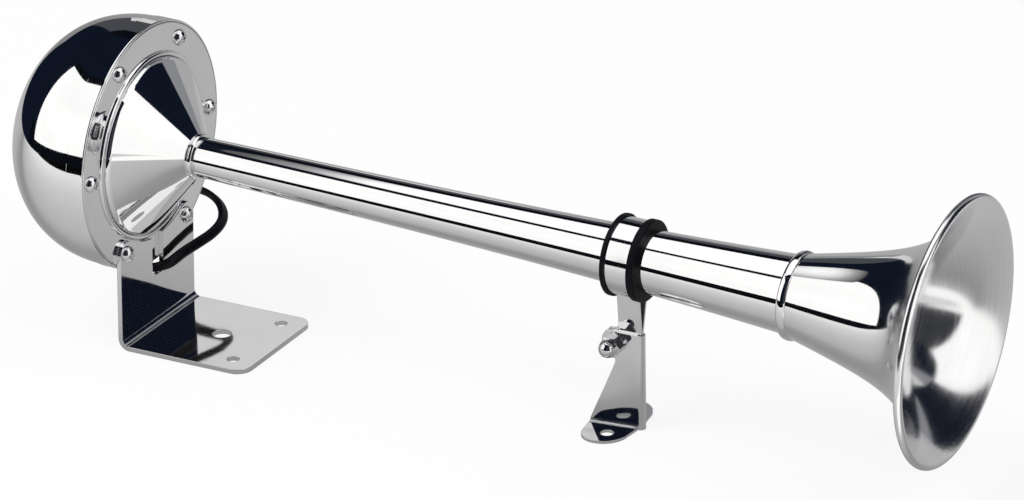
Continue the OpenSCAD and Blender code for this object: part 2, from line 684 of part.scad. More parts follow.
module clamp_tab() {
    tab_from = sqrt(band_in_r * band_in_r - slot_half * slot_half) + 0.5;
    bolt_at = clamp_at - bolt_back;
    in_fold = fold_ahead - fold_r - 0.4;
    intersection() {
        // the tab, seen along the axis
        translate([0, 0, bolt_at - ear_r - 1]) linear_extrude(band_w + bolt_back + ear_r + 2)
            polygon([[tab_from, slot_half + 0.3], [tab_from, slot_half + band_t], [tab_meet, tab_gap + band_t],
                     [tab_end, tab_gap + band_t], [tab_end, tab_gap], [tab_meet, tab_gap]]);
        // its neck and the ear about the bolt, seen from the side
        rotate([-90, 0, 0]) linear_extrude(2 * band_in_r, center = true) mirror([0, 1]) union() {
            translate([0, clamp_at - band_w / 2]) square([tab_meet, band_w]);
            translate([tab_meet - 1, clamp_at - band_w / 2]) square([tab_end - tab_meet + 1, in_fold - bolt_back + band_w / 2]);
            translate([bolt_drop, bolt_at]) circle(r = ear_r);
        }
    }
}
module clamp_band() {
    out_r = band_in_r + band_t;
    color("silver") on_axis() difference() {
        union() {
            difference() {
                ring(band_in_r, out_r, clamp_at - band_w / 2, clamp_at + band_w / 2);
                translate([0, -slot_half, clamp_at - band_w]) cube([out_r + 1, 2 * slot_half, 2 * band_w]);
            }
            clamp_tab();
            mirror([0, 1, 0]) clamp_tab();
        }
        translate([bolt_drop, 0, clamp_at - bolt_back]) rotate([90, 0, 0])
            cylinder(r = bolt_r + 0.15, h = 20, center = true, $fn = 48);
    }
}

// Front bracket: one sheet folded at the front, with wings that open towards two drilled foot flaps.
bolt_place = from_axis(clamp_at - bolt_back, bolt_drop);
wing_in = band_t + tab_gap;
fold_r = wing_in + wing_t;
fold_x = bolt_place[0] + fold_ahead - fold_r;
wing_top = bolt_place[2] + wing_over;
foot_bend = 1.2;
wing_foot_z = wing_t + foot_bend;
foot_skim = 0.02;
front_hole_x = fold_x - wing_l / 2 + 1.2;
// The back edge runs up to a waist below the bolt, where a fillet leads into the nose.
fillet_r = 2.4;
waist_drop = 8.2;
waist = [bolt_place[0] - 0.1, bolt_place[2] - waist_drop];
edge_foot = [fold_x - wing_l * cos(splay), wing_foot_z];
edge_way = unit(edge_foot - waist);
edge_out = [edge_way[1], -edge_way[0]];
to_edge = waist + fillet_r * edge_out - [bolt_place[0], bolt_place[2]];
slide_half = to_edge * edge_way;
slide = -slide_half + sqrt(slide_half * slide_half - to_edge * to_edge + pow(nose_r + fillet_r, 2));
fillet_centre = waist + fillet_r * edge_out + slide * edge_way;
edge_top = waist + slide * edge_way;
nose_foot = [bolt_place[0], bolt_place[2]] + nose_r * unit(fillet_centre - [bolt_place[0], bolt_place[2]]);
// share of the way down the wing, and its back edge and opening angle there
function wing_share(z) = (edge_top[1] - z) / (edge_top[1] - edge_foot[1]);
function wing_back(z) = edge_top[0] + (edge_foot[0] - edge_top[0]) * wing_share(z);
function wing_open(z) = let (s = wing_share(z)) splay * s * s * (3 - 2 * s);
module wing_sheet() {
    levels = 8;
    heights = [for (i = [0:levels]) edge_top[1] + (edge_foot[1] - edge_top[1]) * i / levels];
    corner = function (z, x, inset) [x, -fold_r + inset - (fold_x - x) * tan(wing_open(z)), z];
    points = [for (z = heights) each [corner(z, wing_back(z), 0), corner(z, fold_x, 0),
                                      corner(z, fold_x, wing_t), corner(z, wing_back(z), wing_t)]];
    walls = [for (i = [0:levels - 1], k = [0:3]) let (n = (k + 1) % 4)
        each [[4 * i + k, 4 * i + n, 4 * (i + 1) + n], [4 * i + k, 4 * (i + 1) + n, 4 * (i + 1) + k]]];
    polyhedron(points, concat(walls, [[3, 2, 1, 0], [4 * levels, 4 * levels + 1, 4 * levels + 2, 4 * levels + 3]]));
}
function bearing(v) = atan2(v[1], v[0]);
module opened_out() {
    multmatrix([[1, 0, 0, 0], [tan(splay), 1, 0, -fold_x * tan(splay)], [0, 0, 1, 0], [0, 0, 0, 1]]) children();
}
module wing() {
    bolt_xz = [bolt_place[0], bolt_place[2]];
    nose_end = bearing(nose_foot - bolt_xz);
    // flat part about the bolt
    translate([0, -wing_in, 0]) rotate([90, 0, 0]) linear_extrude(wing_t)
        polygon(concat([edge_top, [fold_x, edge_top[1]], [fold_x, wing_top]],
            arc(bolt_xz, nose_r, 180 - asin(wing_over / nose_r), nose_end < 0 ? nose_end + 360 : nose_end, 18),
            arc(fillet_centre, fillet_r, bearing(bolt_xz - fillet_centre) - 8, bearing(-edge_out) + 4, 7)));
    wing_sheet();
    // bend and foot flap, along the opened lower edge, a touch low so that the foot is cut flat
    flap_r = 9.3;
    wing_run = fold_x - edge_foot[0];
    flap_mid = [wing_run / 2, flap_r - flap_reach];
    opened_out() translate([edge_foot[0], -fold_r, 0]) {
        rotate([90, 0, 90]) linear_extrude(wing_run) translate([-foot_bend, wing_foot_z]) intersection() {
            difference() {
                circle(r = wing_foot_z + foot_skim, $fn = 32);
                circle(r = foot_bend, $fn = 32);
            }
            sector(270, 360, 8);
        }
        translate([0, 0, -foot_skim]) linear_extrude(wing_t + foot_skim)
            polygon(concat([[wing_run, -foot_bend], [0, -foot_bend]], arc(flap_mid, flap_r, 180, 360, 24)));
    }
}
module front_bracket() {
    color("silver") difference() {
        union() {
            wing();
            mirror([0, 1, 0]) wing();
            translate([fold_x, 0, 0]) difference() {
                cylinder(r = fold_r, h = wing_top);
                translate([0, 0, -1]) cylinder(r = wing_in, h = wing_top + 2);
                translate([-2 * fold_r, -2 * fold_r, -1]) cube([2 * fold_r, 4 * fold_r, wing_top + 2]);
            }
        }
        translate([edge_foot[0] - 5, -2 * flap_reach, -5]) cube([wing_l + 15, 4 * flap_reach, 5]);
        for (s = [-1, 1]) translate([front_hole_x, s * front_hole_gap / 2, -1]) cylinder(r = hole_r, h = wing_t + 2);
        translate([bolt_place[0], 0, bolt_place[2]]) rotate([90, 0, 0])
            cylinder(r = bolt_r + 0.15, h = 20, center = true, $fn = 48);
    }
}

// Clamp bolt, with its head on the far side, a lock washer and an acorn nut.
lock_t = 1.2;
nut_seat = fold_r + lock_t;
acorn_h = 9.6;
module along_bolt() {
    translate(bolt_place) rotate([90, 0, 0]) children();
}
module clamp_bolt() {
    head = 3.4;
    color("silver") along_bolt() union() {
        translate([0, 0, -fold_r - head]) intersection() {
            cylinder(r = 4 / cos(30), h = head, $fn = 6);
            rotate_extrude() polygon([[0, 0], [3.8, 0], [4.7, 0.7], [4.7, head], [0, head]]);
        }
        translate([0, 0, -fold_r]) cylinder(r = bolt_r, h = 2 * fold_r + lock_t + 5.6, $fn = 48);
    }
}
module clamp_lock_washer() {
    color("silver") along_bolt() difference() {
        ring(bolt_r + 0.1, 4.4, fold_r, nut_seat, $fn = 64);
        translate([0, -0.4, 0]) cube([6, 0.8, 10]);
    }
}
module clamp_nut() {
    hex_h = 5;
    dome_r = 3.7;
    bore_h = 6.6;
    color("silver") along_bolt() translate([0, 0, nut_seat]) difference() {
        union() {
            intersection() {
                cylinder(r = 4 / cos(30), h = hex_h, $fn = 6);
                rotate_extrude() polygon([[0, 0], [4, 0], [4.65, 0.6], [4.65, hex_h - 0.6], [3.9, hex_h], [0, hex_h]]);
            }
            rotate_extrude() polygon(concat([[0, 0], [dome_r, 0]], arc([0, acorn_h - dome_r], dome_r, 0, 90, 10)));
        }
        translate([0, 0, -1]) cylinder(r = bolt_r + fit_gap, h = 1 + bore_h, $fn = 48);
    }
}

// Power cord: forwards through the notch, round the leg, back behind the cover and down to a small coil.
cord_lie = cord_d / 2 + 0.05;
cord_route = [[-36.5, -0.8, 25.8], [-34.6, -1.1, 25.8], [-32.6, -1.3, 25.9], [-29.6, -0.7, 26.15], [-26.8, 1.1, 26.6],
              [-24.8, 3.9, 27.1], [-24, 7.4, 27.6], [-23.8, 13, 28.1], [-23.4, 17.6, 28.4], [-22.9, 22.3, 28.6],
              [-22.5, 26.9, 28.8], [-22.1, 31.6, 29], [-22.1, 36.2, 29.3], [-22.5, 40.7, 29.7], [-23.5, 45.1, 30.2],
              [-25.2, 49.2, 31], [-27.6, 52.7, 32], [-30.7, 55.6, 33.1], [-34.5, 57.7, 34.2], [-38.7, 59.1, 35.1],
              [-43.3, 59.8, 35.6], [-48.3, 60.2, 35.6], [-53.2, 60.5, 34.6], [-57.7, 61, 32.7], [-61.7, 62, 30],
              [-65.4, 63.8, 26], [-69, 66.6, 21], [-72.2, 70, 15.6], [-75.2, 74, 10.4], [-77.6, 79, 6],
              [-79, 85, 3.2], [-79.5, 91.9, cord_lie]];
module power_cord() {
    color([0.08, 0.08, 0.09]) sweep(cord_route, cord_d);
}

// The stored length: two flat turns and a short tail that turns in to the stripped end.
coil_pitch = 4.7;
coil_outer_r = 26.4;
coil_inner_r = coil_outer_r - coil_pitch;
coil_centre = [-79.5 - coil_outer_r, 92];
module cord_coil() {
    color([0.08, 0.08, 0.09]) translate([coil_centre[0], coil_centre[1], cord_lie]) rotate_extrude() union() {
        translate([coil_outer_r, 0]) circle(d = cord_d, $fn = 32);
        translate([coil_inner_r, 0]) circle(d = cord_d, $fn = 32);
        translate([coil_inner_r, -cord_d / 4]) square([coil_pitch, cord_d / 2]);
    }
}
tail_from = 280;
tail_turn = 130;
tail_r = 10;
tail_centre = coil_centre + (coil_inner_r - tail_r) * [cos(tail_from), sin(tail_from)];
tail_end = tail_centre + tail_r * [cos(tail_from + tail_turn), sin(tail_from + tail_turn)];
module cord_tail() {
    color([0.08, 0.08, 0.09])
        sweep([for (p = arc(tail_centre, tail_r, tail_from, tail_from + tail_turn, 10)) [p[0], p[1], cord_lie]], cord_d);
}
module at_tail_end(along) {
    translate([tail_end[0], tail_end[1], cord_lie]) rotate([0, 90, tail_from + tail_turn + 90 - 6])
        for (s = [-1, 1]) translate([0, s, along]) children();
}
core_l = 9;
bare_l = 5;
module cord_cores() {
    color("firebrick") at_tail_end(0) cylinder(r = 0.9, h = core_l, $fn = 32);
}
module bare_wires() {
    color("orange") at_tail_end(core_l) cylinder(r = 0.5, h = bare_l, $fn = 24);
}

rear_cover();
cover_ring();
front_cone();
flange_screws();
bracket_screws();
flange_washers();
flange_nuts();
front_gasket();
rear_gasket();
diaphragm();
driver_case();
magnet_core();
coil_bobbin();
coil_winding();
armature();
armature_rod();
diaphragm_washer();
diaphragm_nut();
contact_support();
contact_insulators();
contact_blade();
fixed_contact();
moving_point();
fixed_point();
contact_rivet();
adjusting_screw();
adjusting_locknut();
terminal_plate();
terminal_screws();
terminal_nuts();
ring_terminals();
core_leads();
inner_cable();
cable_boot();
trumpet_tube();
bell();
rear_bracket();
clamp_liner();
clamp_band();
clamp_bolt();
clamp_lock_washer();
clamp_nut();
front_bracket();
power_cord();
cord_coil();
cord_tail();
cord_cores();
bare_wires();
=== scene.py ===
"""Polished single-trumpet horn: camera, studio, materials and smooth spun pieces in place of the solid ones.

The horn's own lengths are in millimetres, and MM turns them into Blender's metres. The camera and the
studio are in metres.
"""
import json
import math

import bpy
from mathutils import Matrix, Vector


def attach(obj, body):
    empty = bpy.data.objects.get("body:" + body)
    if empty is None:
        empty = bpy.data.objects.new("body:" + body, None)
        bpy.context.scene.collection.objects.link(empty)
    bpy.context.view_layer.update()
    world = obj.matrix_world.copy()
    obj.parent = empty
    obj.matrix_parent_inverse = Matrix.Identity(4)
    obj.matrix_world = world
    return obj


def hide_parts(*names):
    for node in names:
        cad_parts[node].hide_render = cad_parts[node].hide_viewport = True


MM = 0.001
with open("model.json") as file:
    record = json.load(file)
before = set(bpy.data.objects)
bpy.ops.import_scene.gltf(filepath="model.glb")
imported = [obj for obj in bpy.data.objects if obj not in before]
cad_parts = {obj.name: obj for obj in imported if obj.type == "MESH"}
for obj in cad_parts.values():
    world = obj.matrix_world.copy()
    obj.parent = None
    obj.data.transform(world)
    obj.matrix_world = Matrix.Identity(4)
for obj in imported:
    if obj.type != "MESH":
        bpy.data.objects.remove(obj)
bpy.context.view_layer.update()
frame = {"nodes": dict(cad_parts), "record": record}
scene = bpy.context.scene


# Camera
CAMERA_PLACE = (1.03674, -1.64017, 0.89289)
CAMERA_TURN = (66.1491, 1.0157, 28.1931)
CAMERA_LENS = 179.875
CAMERA_SENSOR = 36.0
CAMERA_REACH = 50.0


def make_camera():
    data = bpy.data.cameras.new("camera")
    data.lens = CAMERA_LENS
    data.sensor_width = CAMERA_SENSOR
    data.sensor_fit = "HORIZONTAL"
    data.clip_end = CAMERA_REACH
    camera = bpy.data.objects.new("camera", data)
    camera.location = CAMERA_PLACE
    camera.rotation_euler = [math.radians(angle) for angle in CAMERA_TURN]
    scene.collection.objects.link(camera)
    scene.camera = camera


make_camera()


# Shader helpers
NOISE_LOW = 0.3
NOISE_HIGH = 0.7
# The mix node's colour sockets go by number, because several of its sockets share a name
MIX_UNDER = 6
MIX_OVER = 7
MIX_RESULT = 2


def new_material(name):
    """A material with an empty tree, and that tree."""
    material = bpy.data.materials.new(name)
    material.use_nodes = True
    material.node_tree.nodes.clear()
    return material, material.node_tree


def add(tree, kind, **settings):
    """A node with its properties set by name, and its sockets by a dict called inputs."""
    inputs = settings.pop("inputs", {})
    node = tree.nodes.new(kind)
    for key, value in settings.items():
        setattr(node, key, value)
    for key, value in inputs.items():
        node.inputs[key].default_value = value
    return node


def finish_surface(tree, shader):
    out = add(tree, "ShaderNodeOutputMaterial")
    tree.links.new(shader, out.inputs["Surface"])


def own_place(tree):
    """Each point's place in its piece's own frame."""
    return add(tree, "ShaderNodeTexCoord").outputs["Object"]


def split_vector(tree, vector):
    """The X, Y and Z of a vector."""
    node = add(tree, "ShaderNodeSeparateXYZ")
    tree.links.new(vector, node.inputs["Vector"])
    return node.outputs["X"], node.outputs["Y"], node.outputs["Z"]


def combined(tree, operation, first, second):
    """One value from two, such as their sum or the larger of them."""
    node = add(tree, "ShaderNodeMath", operation=operation)
    tree.links.new(first, node.inputs[0])
    tree.links.new(second, node.inputs[1])
    return node.outputs["Value"]


def mapped(tree, value, given, wanted=(0, 1)):
    """The value moved from the given range to the wanted one."""
    node = add(tree, "ShaderNodeMapRange", inputs={
        "From Min": given[0], "From Max": given[1], "To Min": wanted[0], "To Max": wanted[1]})
    tree.links.new(value, node.inputs["Value"])
    return node.outputs["Result"]


def noise(tree, vector, scale, detail=3.0, roughness=0.6):
    node = add(tree, "ShaderNodeTexNoise", inputs={"Scale": scale, "Detail": detail, "Roughness": roughness})
    tree.links.new(vector, node.inputs["Vector"])
    return node.outputs["Fac"]


def spread(tree, cloud, low, high):
    """Maps a noise, nearly all of which lies between NOISE_LOW and NOISE_HIGH, onto low to high."""
    return mapped(tree, cloud, (NOISE_LOW, NOISE_HIGH), (low, high))


def ramp(tree, value, stops):
    """Colours along a value, from stops of a place between 0 and 1 and a colour."""
    node = add(tree, "ShaderNodeValToRGB")
    band = node.color_ramp
    while len(band.elements) < len(stops):
        band.elements.new(0.5)
    for element, (place, colour) in zip(band.elements, stops):
        element.position = place
        element.color = (*colour, 1)
    tree.links.new(value, node.inputs["Fac"])
    return node.outputs["Color"]


def mottled(tree, cloud, dark, light):
    """A noise turned into colours between dark and light."""
    return ramp(tree, cloud, [(NOISE_LOW, dark), (NOISE_HIGH, light)])


def bumped(tree, height, strength, distance, normal=None):
    node = add(tree, "ShaderNodeBump", inputs={"Strength": strength, "Distance": distance})
    tree.links.new(height, node.inputs["Height"])
    if normal is not None:
        tree.links.new(normal, node.inputs["Normal"])
    return node.outputs["Normal"]


def emission(tree, colour, strength):
    node = add(tree, "ShaderNodeEmission", inputs={"Strength": strength})
    tree.links.new(colour, node.inputs["Color"])
    return node.outputs["Emission"]


# Materials, with noise scales in cells a metre and bump heights in millimetres
CLOUD_SCALE = 55
METAL_GLOSS_SCALE = 210
RIPPLE_SCALE = 900
MOTTLE_SCALE = 160
DULL_GLOSS_SCALE = 420
RIPPLE_HEIGHT = 0.02
LINE_HEIGHT = 0.03
GRAIN_HEIGHT = 0.05


def metal(name, dark, light, smoothest, roughest, bump=0.02, edge=0.0, haze=None):
    """Bare metal: cloudy colour and roughness, a fine polishing ripple, and softened edges if edge is given.

    haze is where along the piece's own Z the polish grows dull, where it is dullest, and by how much.
    """
    material, tree = new_material(name)
    where = own_place(tree)
    shader = add(tree, "ShaderNodeBsdfPrincipled", inputs={"Metallic": 1.0})
    tree.links.new(mottled(tree, noise(tree, where, CLOUD_SCALE), dark, light), shader.inputs["Base Color"])
    gloss = spread(tree, noise(tree, where, METAL_GLOSS_SCALE), smoothest, roughest)
    if haze:
        haze_from, haze_to, amount = haze
        along = split_vector(tree, where)[2]
        gloss = combined(tree, "ADD", gloss, mapped(tree, along, (haze_from, haze_to), (0, amount)))
    tree.links.new(gloss, shader.inputs["Roughness"])
    normal = None
    if edge:
        normal = add(tree, "ShaderNodeBevel", samples=4, inputs={"Radius": edge * MM}).outputs["Normal"]
    ripple = noise(tree, where, RIPPLE_SCALE, detail=2.0)
    tree.links.new(bumped(tree, ripple, bump, RIPPLE_HEIGHT * MM, normal), shader.inputs["Normal"])
    finish_surface(tree, shader.outputs["BSDF"])
    return material


def turned_metal(name, dark, light, smoothest, roughest, line_scale, bump, anisotropy):
    """Spun metal whose fine marks run round the piece's own Z axis."""
    material, tree = new_material(name)
    x, y, z = split_vector(tree, own_place(tree))
    flat = add(tree, "ShaderNodeCombineXYZ")
    tree.links.new(x, flat.inputs["X"])
    tree.links.new(y, flat.inputs["Y"])
    reach = add(tree, "ShaderNodeVectorMath", operation="LENGTH")
    tree.links.new(flat.outputs["Vector"], reach.inputs[0])
    along = add(tree, "ShaderNodeCombineXYZ")
    tree.links.new(reach.outputs["Value"], along.inputs["X"])
    tree.links.new(z, along.inputs["Z"])
    lines = noise(tree, along.outputs["Vector"], line_scale, detail=4.0, roughness=0.75)
    shader = add(tree, "ShaderNodeBsdfPrincipled", inputs={"Metallic": 1.0, "Anisotropic": anisotropy})
    tangent = add(tree, "ShaderNodeTangent", direction_type="RADIAL", axis="Z")
    tree.links.new(tangent.outputs["Tangent"], shader.inputs["Tangent"])
    tree.links.new(mottled(tree, lines, dark, light), shader.inputs["Base Color"])
    tree.links.new(spread(tree, lines, smoothest, roughest), shader.inputs["Roughness"])
    tree.links.new(bumped(tree, lines, bump, LINE_HEIGHT * MM), shader.inputs["Normal"])
    finish_surface(tree, shader.outputs["BSDF"])
    return material


def dull(name, dark, light, smoothest, roughest, grain_scale, bump, specular=0.4):
    """Rubber, board or gasket sheet: mottled colour, uneven gloss and a fine moulded grain."""
    material, tree = new_material(name)
    where = own_place(tree)
    shader = add(tree, "ShaderNodeBsdfPrincipled", inputs={"Specular IOR Level": specular})
    tree.links.new(mottled(tree, noise(tree, where, MOTTLE_SCALE), dark, light), shader.inputs["Base Color"])
    gloss = spread(tree, noise(tree, where, DULL_GLOSS_SCALE), smoothest, roughest)
    tree.links.new(gloss, shader.inputs["Roughness"])
    grain = noise(tree, where, grain_scale, detail=2.0)
    tree.links.new(bumped(tree, grain, bump, GRAIN_HEIGHT * MM), shader.inputs["Normal"])
    finish_surface(tree, shader.outputs["BSDF"])
    return material


STEEL_DARK = (0.775, 0.775, 0.785)
STEEL_LIGHT = (0.815, 0.815, 0.82)
BLACK_DARK = (0.002, 0.002, 0.004)
polished = metal("polished_steel", STEEL_DARK, STEEL_LIGHT, 0.025, 0.055)
sheet_steel = metal("sheet_steel", STEEL_DARK, STEEL_LIGHT, 0.035, 0.075, edge=0.35)
bell_steel = metal("bell_steel", STEEL_DARK, STEEL_LIGHT, 0.03, 0.06, bump=0.04, haze=(0.340, 0.352, 0.15))
screw_steel = metal("screw_steel", (0.70, 0.70, 0.71), (0.78, 0.78, 0.79), 0.04, 0.09, edge=0.15)
plain_steel = metal("plain_steel", (0.38, 0.39, 0.41), (0.46, 0.47, 0.49), 0.3, 0.45, bump=0.15)
brass = metal("contact_brass", (0.66, 0.49, 0.24), (0.76, 0.59, 0.31), 0.2, 0.32, bump=0.1)
spun_steel = turned_metal("spun_steel", (0.74, 0.74, 0.75), (0.82, 0.82, 0.83), 0.09, 0.2,
                          line_scale=1300, bump=0.4, anisotropy=0.5)
copper = turned_metal("winding_copper", (0.42, 0.18, 0.09), (0.58, 0.27, 0.14), 0.25, 0.4,
                      line_scale=3200, bump=0.7, anisotropy=0.0)
board = dull("insulation_board", (0.26, 0.08, 0.05), (0.36, 0.12, 0.08), 0.5, 0.7,
             grain_scale=700, bump=0.3)
gasket_sheet = dull("gasket_sheet", (0.08, 0.08, 0.08), (0.13, 0.13, 0.12), 0.75, 0.9,
                    grain_scale=900, bump=0.5)
rubber = dull("clamp_rubber", BLACK_DARK, (0.004, 0.004, 0.007), 0.42, 0.58,
              grain_scale=1100, bump=0.25, specular=0.1)
cord_jacket = dull("cord_jacket", BLACK_DARK, (0.004, 0.004, 0.008), 0.26, 0.38,
                   grain_scale=1500, bump=0.15, specular=0.12)

SLOT_MATERIALS = {
    "polished_steel": sheet_steel,
    "fastener_steel": screw_steel,
    "plain_steel": plain_steel,
    "contact_brass": brass,
    "winding": copper,
    "insulation": board,
    "gasket": gasket_sheet,
    "black_rubber": rubber,
    "black_cord": cord_jacket,
}


# Piece helpers
def eased(value):
    """0 up to 0, 1 from 1 on, and a soft step between them."""
    share = min(max(value, 0), 1)
    return share * share * (3 - 2 * share)


def arc(middle, radius, start, stop, steps):
    """Points round a middle, from one angle in degrees to another."""
    points = []
    for i in range(steps + 1):
        angle = math.radians(start + (stop - start) * i / steps)
        points.append((middle[0] + radius * math.cos(angle), middle[1] + radius * math.sin(angle)))
    return points


def straight(start, stop, steps):
    """Points in a straight line, without the last one."""
    return [tuple(a + (b - a) * i / steps for a, b in zip(start, stop)) for i in range(steps)]


def new_piece(name, verts, faces, materials, smooth=True):
    mesh = bpy.data.meshes.new(name)
    mesh.from_pydata([tuple(v) for v in verts], [], faces)
    mesh.validate()
    for material in materials:
        mesh.materials.append(material)
    if smooth:
        mesh.polygons.foreach_set("use_smooth", [True] * len(mesh.polygons))
    mesh.update()
    piece = bpy.data.objects.new(name, mesh)
    scene.collection.objects.link(piece)
    return piece


def weld(piece, reach):
    modifier = piece.modifiers.new("weld", "WELD")
    modifier.merge_threshold = reach * MM


def keep_edges(piece, degrees):
    """Leaves the edges hard that turn by more than the given angle."""
    modifier = piece.modifiers.new("edges", "EDGE_SPLIT")
    modifier.split_angle = math.radians(degrees)


# The cord
CORD_WIDTH = 4.5
CORD_THICKNESS = 3.1
CORD_SIDES = 28
# Rows of the cord between two points of its route
CORD_FINENESS = 5
# Below 1, the flat section is squarer than an ellipse
CORD_ROUNDNESS = 0.8
# The groove's depth is a share of the thickness, and its half width a share of the width
GROOVE_DEPTH = 0.13
GROOVE_HALF = 0.16
CORD_LIE = CORD_WIDTH / 2 + 0.05
CORD_ROUTE = [
    (-36.5, -0.8, 25.8), (-34.6, -1.1, 25.8), (-32.6, -1.3, 25.9), (-29.6, -0.7, 26.15), (-26.8, 1.1, 26.6),
    (-24.8, 3.9, 27.1), (-24, 7.4, 27.6), (-23.8, 13, 28.1), (-23.4, 17.6, 28.4), (-22.9, 22.3, 28.6),
    (-22.5, 26.9, 28.8), (-22.1, 31.6, 29), (-22.1, 36.2, 29.3), (-22.5, 40.7, 29.7), (-23.5, 45.1, 30.2),
    (-25.2, 49.2, 31), (-27.6, 52.7, 32), (-30.7, 55.6, 33.1), (-34.5, 57.7, 34.2), (-38.7, 59.1, 35.1),
    (-43.3, 59.8, 35.6), (-48.3, 60.2, 35.6), (-53.2, 60.5, 34.6), (-57.7, 61, 32.7), (-61.7, 62, 30),
    (-65.4, 63.8, 26), (-69, 66.6, 21), (-72.2, 70, 15.6), (-75.2, 74, 10.4), (-77.6, 79, 6),
    (-79, 85, 3.2), (-79.5, 91.9, CORD_LIE),
]
# Where the cord's flat side faces, by the number of the point on its route
CORD_FACES = [
    (0, Vector((0, 0, 1))), (4, Vector((0.3, -0.2, 1))), (8, Vector((0.75, -0.35, 0.6))),
    (13, Vector((0.8, -0.1, 0.7))), (17, Vector((0.35, 0.55, 0.75))), (22, Vector((0, 0.8, 0.6))),
    (28, Vector((0, 0.6, 0.8))), (32, Vector((0, 0, 1))),
]
COIL_OUTER = 26.4
COIL_PITCH = 4.7
COIL_INNER = COIL_OUTER - COIL_PITCH
COIL_MIDDLE = (CORD_ROUTE[-1][0] - COIL_OUTER, 92.0)
COIL_STEP = 15
COIL_EASE_FROM = 285
COIL_EASE_TO = 375
COIL_END = 640
TAIL_R = 10.0
TAIL_TURN = 130
TAIL_STEPS = 10


def coil_radius(angle):
    """Outer turn first, then the inner one, with an easing between."""
    return COIL_OUTER - COIL_PITCH * eased((angle - COIL_EASE_FROM) / (COIL_EASE_TO - COIL_EASE_FROM))


def round_point(middle, radius, degrees):
    angle = math.radians(degrees)
    return (middle[0] + radius * math.cos(angle), middle[1] + radius * math.sin(angle), CORD_LIE)


def cord_points():
    """The listed route, then the coil's turns and the end curled inside them."""
    coil = [round_point(COIL_MIDDLE, coil_radius(a), a) for a in range(COIL_STEP, COIL_END, COIL_STEP)]
    last = round_point(COIL_MIDDLE, COIL_INNER, COIL_END)
    inwards = (COIL_INNER - TAIL_R) / COIL_INNER
    tail_middle = [middle + inwards * (end - middle) for middle, end in zip(COIL_MIDDLE, last)]
    tail = []
    for i in range(TAIL_STEPS + 1):
        tail.append(round_point(tail_middle, TAIL_R, COIL_END + TAIL_TURN * i / TAIL_STEPS))
    return [Vector(p) * MM for p in CORD_ROUTE + coil + tail]


def smooth_path(points, per_span):
    """Catmull-Rom points between the given ones."""
    path = []
    last = len(points) - 1
    for i in range(last):
        a, b, c, d = points[max(i - 1, 0)], points[i], points[i + 1], points[min(i + 2, last)]
        slope = c - a
        bend = 2 * a - 5 * b + 4 * c - d
        twist = 3 * b - a - 3 * c + d
        for k in range(per_span):
            t = k / per_span
            path.append(0.5 * (2 * b + slope * t + bend * t * t + twist * t ** 3))
    path.append(points[-1])
    return path


def cord_face(place):
    """The flat side faces forwards at the leg, outwards round the loop and up in the coil."""
    for (a, first), (b, second) in zip(CORD_FACES, CORD_FACES[1:]):
        if place <= b:
            return first.lerp(second, (place - a) / (b - a))
    return CORD_FACES[-1][1]


def swollen(value):
    """A sine or cosine drawn out towards the corners of the section."""
    return math.copysign(abs(value) ** CORD_ROUNDNESS, value)


def cord_section(width, thickness):
    """The cord's flat section, with a shallow groove along the middle of both flat sides."""
    points = []
    for k in range(CORD_SIDES):
        angle = 2 * math.pi * k / CORD_SIDES
        x = swollen(math.cos(angle)) * width / 2
        y = swollen(math.sin(angle)) * thickness / 2
        groove = 1 - GROOVE_DEPTH * max(0.0, 1 - (x / (GROOVE_HALF * width)) ** 2)
        points.append((x, y * groove))
    return points


def make_cord(path):
    section = cord_section(CORD_WIDTH * MM, CORD_THICKNESS * MM)
    sides = len(section)
    last = len(path) - 1
    verts, faces = [], []
    for i, point in enumerate(path):
        ahead = (path[min(i + 1, last)] - path[max(i - 1, 0)]).normalized()
        face = cord_face(i / CORD_FINENESS)
        face = (face - ahead * face.dot(ahead)).normalized()
        across = ahead.cross(face)
        verts += [point + across * x + face * y for x, y in section]
    for i in range(last):
        for k in range(sides):
            n = (k + 1) % sides
            faces.append((i * sides + k, i * sides + n, (i + 1) * sides + n, (i + 1) * sides + k))
    faces.append(tuple(range(sides - 1, -1, -1)))
    faces.append(tuple(len(verts) - sides + k for k in range(sides)))
    return new_piece("power_cord_flat", verts, faces, [cord_jacket])


cord_path = smooth_path(cord_points(), CORD_FINENESS)
cord = make_cord(cord_path)
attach(cord, "root")
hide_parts("power_cord", "cord_coil", "cord_tail")


# The trumpet's axis
AXIS_DROP = math.radians(1.9)
SHEET = 2.0
LEG_H = 79.5
FOOT_L = 60.4
LEG_X = SHEET - FOOT_L / 2
FLANGE_X = LEG_X + LEG_H * math.sin(AXIS_DROP) - SHEET * math.cos(AXIS_DROP)
FLANGE_Z = SHEET + LEG_H * math.cos(AXIS_DROP) + SHEET * math.sin(AXIS_DROP)
FLANGE_PLACE = Matrix.Translation(Vector((FLANGE_X, 0, FLANGE_Z)) * MM)
ON_AXIS = FLANGE_PLACE @ Matrix.Rotation(math.pi / 2 + AXIS_DROP, 4, "Y")
WELD_REACH = 0.0005
HARD_FROM = 40


